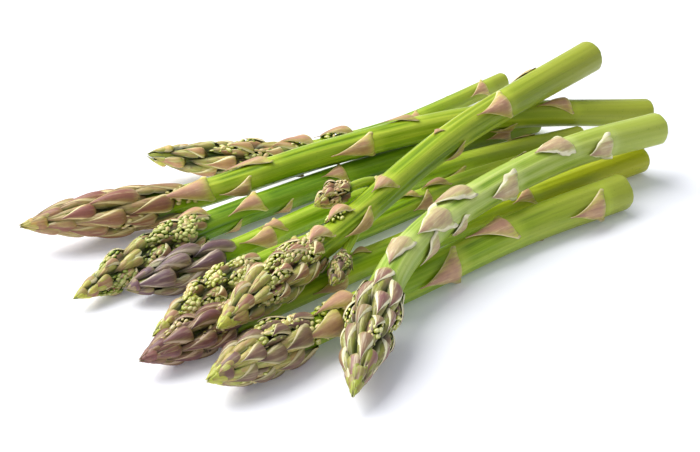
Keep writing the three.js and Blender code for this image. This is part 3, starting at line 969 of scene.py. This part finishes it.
    def grow_head(self) -> tuple[list[Shell], list[Shell], list[Shell]]:
        """The side buds that crowd the head, each turned on from the last by the golden angle.

        Returns:
            Covering leaves, the small scales under them, and round buds.
        """
        s, cover, uniform = self.sizes, self.sizes.scales, self.random.uniform
        hoods: list[Shell] = []
        inner: list[Shell] = []
        buds: list[Shell] = []
        for i in range(cover.count):
            root = s.head * (1 - (i + 0.5) / cover.count * HEAD_FILLED)
            grown = math.sin(0.5 * math.pi * min(root / (s.head * HEAD_WIDEST), 1))
            size = (LEAST_BUD + (1 - LEAST_BUD) * grown) * uniform(*BUD_SIZES)
            angle = i * GOLDEN_ANGLE + uniform(-BUD_TURN, BUD_TURN)
            reach = min(cover.length * size, root + 0.4)
            width = cover.width * size
            girth = max(float(self.outer_radius(np.array(root - 0.4 * reach))) - 0.5, 0.9)
            bud = SideBud(root, angle, reach, HALF_BUD * width, cover.plump * uniform(*BUD_PLUMP),
                          girth, uniform(-BUD_BEND, BUD_BEND))
            opened = (cover.opened[0]
                      + (cover.opened[1] - cover.opened[0]) * (root / s.head) ** 2)
            is_open = self.random.random() < opened and root > cover.open_from * s.head
            is_young = root < YOUNG_SHARE * s.head
            if is_open:
                buds.append(self.bud_cluster(bud))
                for side in (-1, 1):
                    hoods.append(self.leaf(
                        FLANK_SCALE, bud, root - 0.12 * reach,
                        angle + side * 0.95 * bud.half_width / girth, 0.66 * reach, 0.4 * width,
                        back=0.85, bend=-side * 0.45, lift=0.3))
            count = cover.open_inner if is_open else 3 if is_young else cover.inner
            inner += self.inner_scales(bud, width, count)
            if is_young and not is_open:
                hoods.append(self.leaf(
                    TIP_SCALE, bud, root, angle, reach * (0.25 + 0.75 * cover.hood_size),
                    width * (0.5 + 0.42 * cover.hood_size), back=0.35,
                    bend=uniform(-0.15, 0.15), lift=0.15))
            elif self.random.random() < cover.hooded:
                scale = (cover.open_hood if is_open else cover.hood_size) * uniform(*HOOD_SIZES)
                hoods.append(self.leaf(
                    HOOD, bud, root + 0.6, angle, min(reach * scale, root + 0.4),
                    width * (0.7 * scale + 0.28), back=0.6, bend=uniform(-0.3, 0.3),
                    lift=uniform(0, 0.4), clear=0.85 if is_open else 0.1 + 0.05 * width))
        return hoods, inner, buds

    def inner_scales(self, bud: SideBud, width: float, count: int) -> list[Shell]:
        """Small scales of one side bud.

        Args:
            bud: the side bud.
            width: its covering leaf's width.
            count: how many it has.

        Returns:
            The scales' shells.
        """
        scales = []
        for k in range(count):
            along = 0.06 + 0.5 * k / max(count - 1, 1)
            side = 1 if k % 2 else -1
            across = side * (0.62 - 0.6 * along) * self.random.uniform(0.75, 1.1)
            root = bud.root - along * bud.length
            length = min(0.52 * bud.length * self.random.uniform(0.85, 1.15), root + 0.2)
            scales.append(self.leaf(
                INNER_SCALE, bud, root, bud.angle + across * bud.half_width / bud.girth,
                max(length, 0.8), 0.46 * width, back=0.36 + 0.025 * width, bend=-side * 0.2,
                lift=0.1))
        return scales

    def bract_leaves(self, start: float, stop: float) -> tuple[list[Shell], list[Shell]]:
        """The single scale leaves with roots between two distances, and round buds under some.

        Args:
            start: distance from the tip after which they count.
            stop: distance up to which they count.

        Returns:
            The leaves' shells and the buds'.
        """
        uniform = self.random.uniform
        leaves, buds = [], []
        for root, angle, length, width in self.sizes.bracts:
            if not start < root <= stop:
                continue
            turn = math.radians(angle)
            girth = float(self.body_radius(np.array(root))) + 0.4
            budded = root <= self.sizes.budded
            bud = SideBud(root - 0.5, turn, (0.8 if budded else 0.95) * length, 0.42 * width,
                          1.7 if budded else 0.09 * width, girth, on_head=False)
            if budded:
                buds.append(self.bud_cluster(bud))
            leaves.append(self.leaf(
                self.sizes.bract_form, bud, root, turn, length * uniform(0.94, 1.04),
                width * (1.05 if budded else 1.2), back=0.1 * width, bend=uniform(-0.22, 0.22),
                lift=uniform(0, 0.5), clear=0.85 if budded else 0.14))
        return leaves, buds

    def bud_cluster(self, bud: SideBud) -> Shell:
        """Round buds packed over one open side bud.

        Args:
            bud: the side bud.

        Returns:
            The buds' shell.
        """
        cover = self.sizes.buds
        phi = full_turn(BUD_SIDES)[None, :]
        theta = np.linspace(0, np.pi, BUD_RINGS + 2)[1:-1, None]
        ball = np.vstack([[(0, 0, 1)], rows_of(np.sin(theta) * np.cos(phi),
                                               np.sin(theta) * np.sin(phi), np.cos(theta)),
                          [(0, 0, -1)]])
        last = len(ball) - 1
        ball_faces = grid_faces(BUD_RINGS, BUD_SIDES, True, 1, True)
        for k in range(BUD_SIDES):
            beside = (k + 1) % BUD_SIDES
            ball_faces += [(0, 1 + k, 1 + beside),
                           (last, last - BUD_SIDES + beside, last - BUD_SIDES + k)]
        count = cover.beads
        number = np.arange(count)
        spread = np.sqrt((number + 0.5) / count)
        turn = number * GOLDEN_ANGLE + self.random.uniform(0, 6)
        bead = (cover.bead * self.random.uniform(*BEAD_SIZES, count))[:, None]
        along = bud.length * (0.55 + 0.43 * spread * np.cos(turn))
        across = bud.half_width * 0.9 * spread * np.sin(turn)
        # Buds are longer than wide, narrower in front, and each leans its own way
        lean = self.random.uniform(-BEAD_LEAN, BEAD_LEAN, count)[:, None]
        x = ball[None, :, 0] * BUD_STRETCH * bead
        y = ball[None, :, 1] * (0.95 - 0.3 * ball[None, :, 0]) * bead
        z = ball[None, :, 2] * (1.0 - 0.2 * ball[None, :, 0]) * bead
        x, y = x * np.cos(lean) - y * np.sin(lean), x * np.sin(lean) + y * np.cos(lean)
        middle = (bud.root - along)[:, None]
        angle = (bud.angle + across / bud.girth)[:, None]
        base = self.ground(bud, middle, angle) + 0.3 * cover.bead
        points = self.line.place(np.maximum(middle - x, 0.2), angle + y / bud.girth,
                                 np.maximum(base + z, 0.1))
        faces = [tuple(corner + len(ball) * k for corner in face)
                 for k in range(count) for face in ball_faces]
        # Painted light: a bud is lighter on its outward top, and buds in the middle of a cluster
        # lighter than those at its edges
        out = np.clip(0.34 + 0.5 * ball[None, :, 2] + 0.16 * ball[None, :, 0]
                      + 0.3 * (0.4 - spread[:, None]), 0, 1)
        tone = self.random.random()
        growth = rows_of(out, self.random.random(count)[:, None], tone)
        shift = self.random.random((count, 1, 3)) * 60
        return Shell(points, faces, growth, (np.stack([x, y, z], -1) + shift).reshape(-1, 3),
                     np.ones_like(growth))

    def furrows(self, distance: Array, angle: Array) -> Array:
        """Height of the furrows that run on from each single scale leaf, and of its joint.

        Args:
            distance: distance from the tip.
            angle: turn from the top.

        Returns:
            Height in millimetres.
        """
        height = np.zeros(np.broadcast(distance, angle).shape)
        for root, turn, length, width in self.sizes.bracts:
            off = turn_from(math.radians(turn), angle)
            corner = 0.56 * width / self.body_radius(np.array(root))
            ahead = root - distance
            fade = (np.clip((ahead + 2) / 6, 0, 1)
                    * np.clip(1 - (ahead - length) / FURROW_RUN_MM, 0, 1) ** 0.6)
            for side, share in ((-1, 1.0), (1, 0.7)):
                past = off - side * corner
                depth = fade * self.sizes.groove * share
                height -= depth * np.exp(-(past / FURROW_WIDTH) ** 2)
                beside = past - side * BANK_TURN
                height += depth * BANK_SHARE * np.exp(-(beside / BANK_WIDTH) ** 2)
            # The body swells a little where the leaf is attached
            height += (NODE_SWELL_MM * np.exp(-((ahead - 2) / 3.5) ** 2)
                       * np.exp(-(off / (1.1 * corner)) ** 4))
        return height

    def skin_radius(self, distance: Array, angle: Array) -> tuple[Array, Array]:
        """Radius of the skin, with its soft ribs and furrows.

        Args:
            distance: distance from the tip, one row each.
            angle: turn from the top, one column each.

        Returns:
            Radius in millimetres, and a number from 0 in the furrows to 1 on the ribs.
        """
        soft = sum(height * np.cos(count * angle + turn + twist * distance)
                   for (height, count, twist), turn in zip(RIBS, self.ridge_turns))
        furrow = self.furrows(distance, angle)
        rib = np.clip(0.5 + (furrow + soft * 6) * 1.5, 0, 1)
        return self.body_radius(distance) * (1 + soft) + furrow, rib

    def skin(self, distance: Array, drop: Array) -> Shell:
        """A stretch of skin, open at both ends.

        Args:
            distance: distances of its rings from the tip.
            drop: how far each ring is drawn in.

        Returns:
            The skin's shell.
        """
        s = self.sizes
        distance, angle = distance[:, None], full_turn(self.sides)[None, :]
        radius, rib = self.skin_radius(distance, angle)
        radius = np.maximum(radius - drop[:, None], 0.15)
        near = np.zeros_like(radius)
        for root, turn, _, width in s.bracts:
            off = turn_from(math.radians(turn), angle)
            near += (np.exp(-((distance - root - 1.6) / 2.4) ** 2)
                     * np.exp(-(off / (width / 8)) ** 4))
        share = (distance - s.head) / (self.line.length - s.head)
        # In most of the head the ribs' lightness is dropped: painted shade that darkens the core
        # between its scale leaves
        past_head = np.clip((distance - 0.75 * s.head) / (0.3 * s.head), 0, 1)
        return Shell(
            self.line.place(distance, angle, radius),
            grid_faces(len(distance), self.sides, True),
            rows_of(share, rib * past_head, np.clip(near, 0, 1)),
            rows_of(radius * np.cos(angle), radius * np.sin(angle), distance),
            rows_of(np.clip(distance / s.head, 0, 1), np.ones_like(radius), 0.0))

    def core(self) -> Shell:
        """The head's slim core, which runs on into the stem's skin.

        Returns:
            Its shell.
        """
        count = max(int(self.sizes.joint / self.ring_step_mm), 8)
        return self.skin(np.linspace(0.4, self.sizes.joint, count), np.zeros(count))

    def stem(self) -> list[Shell]:
        """The stem's skin and its cut end.

        Returns:
            Both shells.
        """
        start, end = self.sizes.joint, self.line.length
        rows = max(int((end - start) / self.ring_step_mm), 8)
        rings = np.r_[np.linspace(start, end - CUT_BEVEL_MM * 1.3, rows),
                      end - np.array(BEVEL_BACK) * CUT_BEVEL_MM]
        drop = np.r_[np.zeros(rows), np.array(BEVEL_IN) * CUT_BEVEL_MM]
        angle = full_turn(self.sides)
        last, _ = self.skin_radius(np.array([[end]]), angle[None, :])
        return [self.skin(rings, drop), self.cut_end(last[0] - drop[-1], angle)]

    def cut_end(self, rim: Array, angle: Array) -> Shell:
        """The cut face, slightly hollow.

        Args:
            rim: radius of the skin's last ring at each angle.
            angle: its angles.

        Returns:
            The face's shell.
        """
        shares = np.array(CUT_RINGS)[:, None]
        radius = rim[None, :] * shares
        back = CUT_HOLLOW_MM * (1 - shares ** 2)
        count = len(angle)
        faces = grid_faces(len(shares), count, True)
        faces.append(tuple((len(shares) - 1) * count + i for i in range(count)))
        growth = rows_of(shares, np.zeros_like(radius), 0.0)
        return Shell(self.line.place(self.line.length - back, angle[None, :], radius), faces,
                     growth, rows_of(radius * np.cos(angle), radius * np.sin(angle), 0.0),
                     np.ones_like(growth), material=1)


@dataclass
class Wardrobe:
    """Materials made so far, one for each finish."""

    made: dict[str, bpy.types.Material] = field(default_factory=dict)

    def wear(self, finish: Finish) -> bpy.types.Material:
        """Give a finish's material, made at its first use.

        Args:
            finish: the finish.

        Returns:
            Its material.
        """
        if finish.name not in self.made:
            self.made[finish.name] = finish.build()
        return self.made[finish.name]


@dataclass
class Bundle:
    """The whole pile: nine spears and the side shoots of the topmost one."""

    wardrobe: Wardrobe
    slots: dict[str, str]     # each node's material slot in the record

    def add_piece(self, replaced: str, part: str, shells: list[Shell], *finishes: Finish) -> None:
        """Join shells into one object that rides on the root and stands for a node.

        Args:
            replaced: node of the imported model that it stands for.
            part: what it is of that node.
            shells: stretches of mesh; no object is made of none.
            finishes: its finishes, by the shells' material number.
        """
        if not shells:
            return
        name, slot = f"{replaced}_{part}", self.slots[replaced]
        points = np.vstack([shell.points for shell in shells])
        points[:, 2] = np.maximum(points[:, 2], FLOOR_GAP_MM * MM)
        faces: Faces = []
        numbers: list[int] = []
        start = 0
        for shell in shells:
            faces.extend(tuple(corner + start for corner in face) for face in shell.faces)
            numbers.extend([shell.material] * len(shell.faces))
            start += len(shell.points)
        mesh = bpy.data.meshes.new(name)
        mesh.from_pydata(points.tolist(), [], faces)
        for attribute in ("growth", "skin_mm", "place"):
            values = np.vstack([getattr(shell, attribute) for shell in shells])
            layer = mesh.attributes.new(attribute, "FLOAT_VECTOR", "POINT")
            layer.data.foreach_set("vector", values.astype(np.float32).ravel())
        mesh.polygons.foreach_set("material_index", numbers)
        mesh.polygons.foreach_set("use_smooth", [True] * len(faces))
        for finish in finishes:
            mesh.materials.append(self.wardrobe.wear(finish))
        mesh.update()
        piece = new_object(name, mesh)
        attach(piece, "root")
        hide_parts(replaced)
        LOG.info("%s: %d faces", name, len(faces))

    def dress_head(self, spear: Spear, node: str) -> None:
        """Build a head's core, scale leaves and buds.

        Args:
            spear: the spear.
            node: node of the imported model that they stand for.
        """
        s = spear.sizes
        self.add_piece(node, "core", [spear.core()], s.stem_skin)
        hoods, inner, buds = spear.grow_head()
        bracts, axil_buds = spear.bract_leaves(0, s.joint)
        self.add_piece(node, "hoods", hoods, s.hood_skin)
        self.add_piece(node, "inner_scales", inner, s.inner_skin)
        self.add_piece(node, "buds", buds + axil_buds, s.bud_skin)
        self.add_piece(node, "neck_leaves", bracts, s.bract_skin)

    def dress_stem(self, spear: Spear, growths: list[Shell]) -> None:
        """Build a stem's skin, cut end and single scale leaves.

        Args:
            spear: the spear.
            growths: shells of stalks that grow from it.
        """
        s = spear.sizes
        node = f"stem_{s.name}"
        self.add_piece(node, "skin", [*spear.stem(), *growths], s.stem_skin, CUT_FLESH)
        leaves, buds = spear.bract_leaves(s.joint, spear.line.length)
        self.add_piece(node, "leaves", leaves, s.bract_skin)
        self.add_piece(node, "buds", buds, s.bud_skin)

    def build(self) -> None:
        """Build every spear."""
        shoots = [Spear(sizes, SHOOT_SEED + n) for n, sizes in enumerate(SIDE_SHOOTS)]
        stalks = [shoot.stem()[0] for shoot in shoots]
        for n, sizes in enumerate(SPEARS):
            spear = Spear(sizes, SPEAR_SEED + n)
            self.dress_head(spear, f"tip_{sizes.name}")
            self.dress_stem(spear, stalks if sizes.name == "h" else [])
        for shoot in shoots:
            self.dress_head(shoot, shoot.sizes.name)


@dataclass(frozen=True)
class Softbox:
    """A square soft light that faces the bundle."""

    name: str
    azimuth: float       # turn from the camera, in degrees
    elevation: float     # above the floor, in degrees
    away: float          # metres
    side: float          # metres
    watts: float


@dataclass(frozen=True)
class Studio:
    """Plain floor, soft overhead light and the photograph's viewing angle."""

    target_mm: Point = (-31.2, -3.7, 12.0)
    distance_mm: float = 650.0
    azimuth: float = math.radians(-35)
    elevation: float = math.radians(27)
    pixels_per_mm: float = 2.8          # at the target
    frame_width: int = 700
    floor_size: float = 8.0
    sensor_mm: float = 36.0
    sky: str = "#e8edff"
    sky_strength: float = 0.44
    lights: tuple[Softbox, ...] = (Softbox("key", -118, 53, 1.8, 1.7, 50),
                                   Softbox("fill", -55, 38, 1.6, 1.6, 5.5))

    def aim(self, name: str, data: bpy.types.ID, azimuth: float, elevation: float,
            away: float) -> bpy.types.Object:
        """Add a light or camera that faces the target.

        Args:
            name: its name.
            data: its light or camera data.
            azimuth: its turn about the vertical, 0 from -Y.
            elevation: its angle above the floor.
            away: its distance in metres.

        Returns:
            Its object.
        """
        thing = new_object(name, data)
        target = Vector(self.target_mm) * MM
        flat = math.cos(elevation)
        thing.location = target + away * Vector(
            (math.sin(azimuth) * flat, -math.cos(azimuth) * flat, math.sin(elevation)))
        thing.rotation_euler = (target - thing.location).to_track_quat("-Z", "Y").to_euler()
        return thing

    def build(self, wardrobe: Wardrobe) -> None:
        """Make the floor, lights, world and camera.

        Args:
            wardrobe: materials made so far.
        """
        half = self.floor_size / 2
        mesh = bpy.data.meshes.new("floor")
        mesh.from_pydata([(-half, -half, 0), (half, -half, 0), (half, half, 0), (-half, half, 0)],
                         [], [(0, 1, 2, 3)])
        mesh.materials.append(wardrobe.wear(PAPER))
        floor = new_object("floor", mesh)
        for box in self.lights:
            light = bpy.data.lights.new(box.name, "AREA")
            light.size, light.energy = box.side, box.watts
            self.aim(box.name, light, self.azimuth + math.radians(box.azimuth),
                     math.radians(box.elevation), box.away)
        scene = bpy.context.scene
        scene.world = bpy.data.worlds.new("studio")
        scene.world.use_nodes = True
        background = scene.world.node_tree.nodes["Background"]
        background.inputs["Color"].default_value = linear(self.sky)
        background.inputs["Strength"].default_value = self.sky_strength
        scene.view_settings.view_transform = "Standard"
        lens = bpy.data.cameras.new("camera")
        lens.sensor_width = self.sensor_mm
        lens.lens = self.sensor_mm * self.pixels_per_mm * self.distance_mm / self.frame_width
        scene.camera = self.aim("camera", lens, self.azimuth, self.elevation,
                                self.distance_mm * MM)


def main() -> None:
    """Build the studio and the bundle."""
    logging.basicConfig(level=logging.INFO, format="%(message)s")
    wardrobe = Wardrobe()
    Studio().build(wardrobe)
    slots = {part["node"]: part["material_slot"] for part in frame["record"]["subparts"]}
    Bundle(wardrobe, slots).build()


if __name__ == "__main__":
    main()
